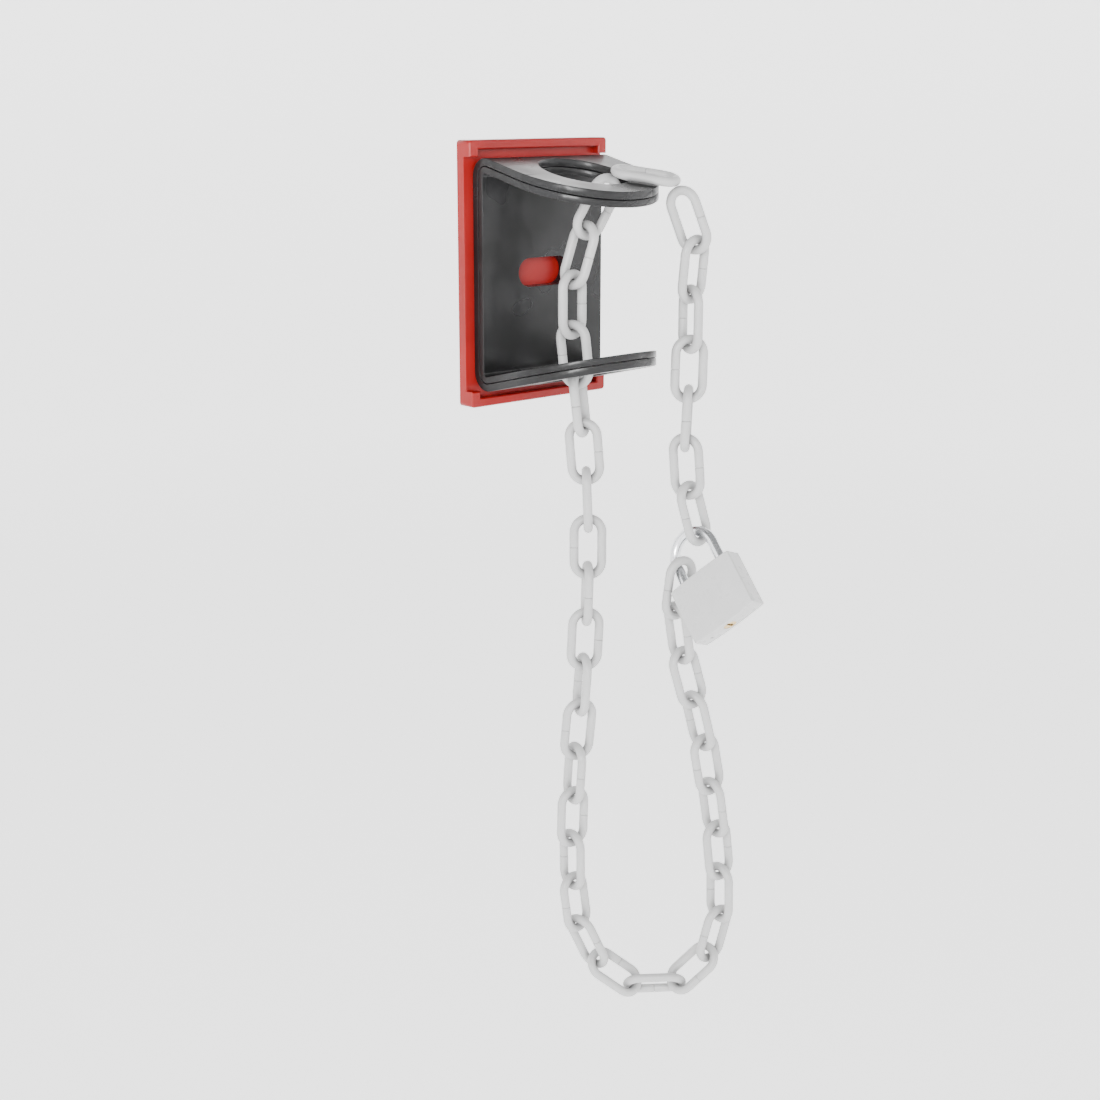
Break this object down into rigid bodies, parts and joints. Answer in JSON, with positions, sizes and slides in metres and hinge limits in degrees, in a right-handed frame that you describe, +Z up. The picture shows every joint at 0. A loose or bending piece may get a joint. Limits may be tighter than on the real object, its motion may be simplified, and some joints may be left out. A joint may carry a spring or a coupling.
{
  "type": "wall bracket with looped chain and padlock",
  "caption": "Wall bracket with two holed D-shaped flanges, a closed loop of plastic split-link chain hung through them, and a padlock that closes the loop.",
  "frame": {"origin": "middle of the wall plate's back face, on the wall", "axes": "+Y into the wall, +Z up, +X to the right as seen from in front; the flanges reach out towards -Y"},
  "size_m": [0.1398, 0.161, 0.5807],
  "materials": {
    "red_plastic": "satin moulded",
    "black_coat": "semi-gloss coating",
    "pad_foam": "matt",
    "chain_plastic": "satin white",
    "lock_case": "white coating",
    "bright_steel": "polished",
    "brass": "brushed"
  },
  "bodies": {
    "bracket": {"wall_plate": "red_plastic", "steel_bracket": "black_coat", "bracket_liner": "black_coat", "liner_pads": "pad_foam", "chain_link_01": "chain_plastic"},
    "chain_upper": {"chain_link_37": "chain_plastic", "chain_link_36": "chain_plastic", "chain_link_35": "chain_plastic", "chain_link_34": "chain_plastic", "chain_link_33": "chain_plastic", "chain_link_32": "chain_plastic", "chain_link_02": "chain_plastic", "chain_link_03": "chain_plastic", "chain_link_04": "chain_plastic", "chain_link_05": "chain_plastic", "chain_link_06": "chain_plastic"},
    "chain_middle": {"chain_link_31": "chain_plastic", "chain_link_30": "chain_plastic", "chain_link_29": "chain_plastic", "chain_link_28": "chain_plastic", "chain_link_07": "chain_plastic", "chain_link_08": "chain_plastic", "chain_link_11": "chain_plastic", "chain_link_10": "chain_plastic", "chain_link_09": "chain_plastic"},
    "chain_lower": {"chain_link_27": "chain_plastic", "chain_link_26": "chain_plastic", "chain_link_25": "chain_plastic", "chain_link_24": "chain_plastic", "chain_link_14": "chain_plastic", "chain_link_13": "chain_plastic", "chain_link_12": "chain_plastic"},
    "chain_belly": {"chain_link_23": "chain_plastic", "chain_link_22": "chain_plastic", "chain_link_21": "chain_plastic", "chain_link_20": "chain_plastic", "chain_link_19": "chain_plastic", "chain_link_18": "chain_plastic", "chain_link_17": "chain_plastic", "chain_link_16": "chain_plastic", "chain_link_15": "chain_plastic"},
    "shackle": {"shackle": "bright_steel"},
    "lock_body": {"lock_body": "lock_case", "heel_stop_pin": "lock_case", "driver_pins": "brass", "pin_springs": "bright_steel", "pin_bore_caps": "lock_case", "heel_spring": "bright_steel"},
    "key_cylinder": {"lock_cylinder": "brass", "cylinder_clip": "bright_steel", "cylinder_cam": "brass", "key_pins": "brass"},
    "heel_ball": {"locking_ball_heel": "bright_steel"},
    "toe_ball": {"locking_ball_toe": "bright_steel"}
  },
  "joints": [
    {"name": "loop_side_swing", "type": "hinge", "parent": "bracket", "child": "chain_upper", "pos_m": [0.02783, -0.07869, 0.05847], "axis": [0.6386, -0.7496, -0.174], "range_deg": [-4, 0]},
    {"name": "upper_side_fold", "type": "hinge", "parent": "chain_upper", "child": "chain_middle", "pos_m": [0.02537, -0.0757, -0.11691], "axis": [0.7046, -0.6302, 0.3261], "range_deg": [-5, 0]},
    {"name": "middle_side_fold", "type": "hinge", "parent": "chain_middle", "child": "chain_lower", "pos_m": [0.02836, -0.07833, -0.2665], "axis": [0.703, -0.6278, -0.3341], "range_deg": [-8, 8]},
    {"name": "lower_side_fold", "type": "hinge", "parent": "chain_lower", "child": "chain_belly", "pos_m": [0.03195, -0.08156, -0.3757], "axis": [0.7436, -0.6647, 0.0718], "range_deg": [-8, 8]},
    {"name": "padlock_swing", "type": "hinge", "parent": "chain_middle", "child": "shackle", "pos_m": [0.05142, -0.09904, -0.17636], "axis": [0.3354, -0.3833, 0.8606], "range_deg": [-8, 0]},
    {"name": "shackle_release", "type": "slide", "parent": "shackle", "child": "lock_body", "axis": [-0.1363, -0.7161, -0.6846], "range_m": [0, 0.01]},
    {"name": "key_turn", "type": "hinge", "parent": "lock_body", "child": "key_cylinder", "pos_m": [0.04389, -0.14404, -0.21627], "axis": [-0.1363, -0.7161, -0.6846], "range_deg": [-90, 0]},
    {"name": "heel_ball_slide", "type": "slide", "parent": "lock_body", "child": "heel_ball", "axis": [0.3069, -0.6876, 0.6581], "range_m": [-0.0015, 0]},
    {"name": "toe_ball_slide", "type": "slide", "parent": "lock_body", "child": "toe_ball", "axis": [-0.3069, 0.6876, -0.6581], "range_m": [-0.0015, 0]}
  ],
  "couplings": [
    {"joint": "heel_ball_slide", "follows": "key_turn", "m_per_rad": 0.00095397},
    {"joint": "toe_ball_slide", "follows": "key_turn", "m_per_rad": 0.00095397}
  ]
}
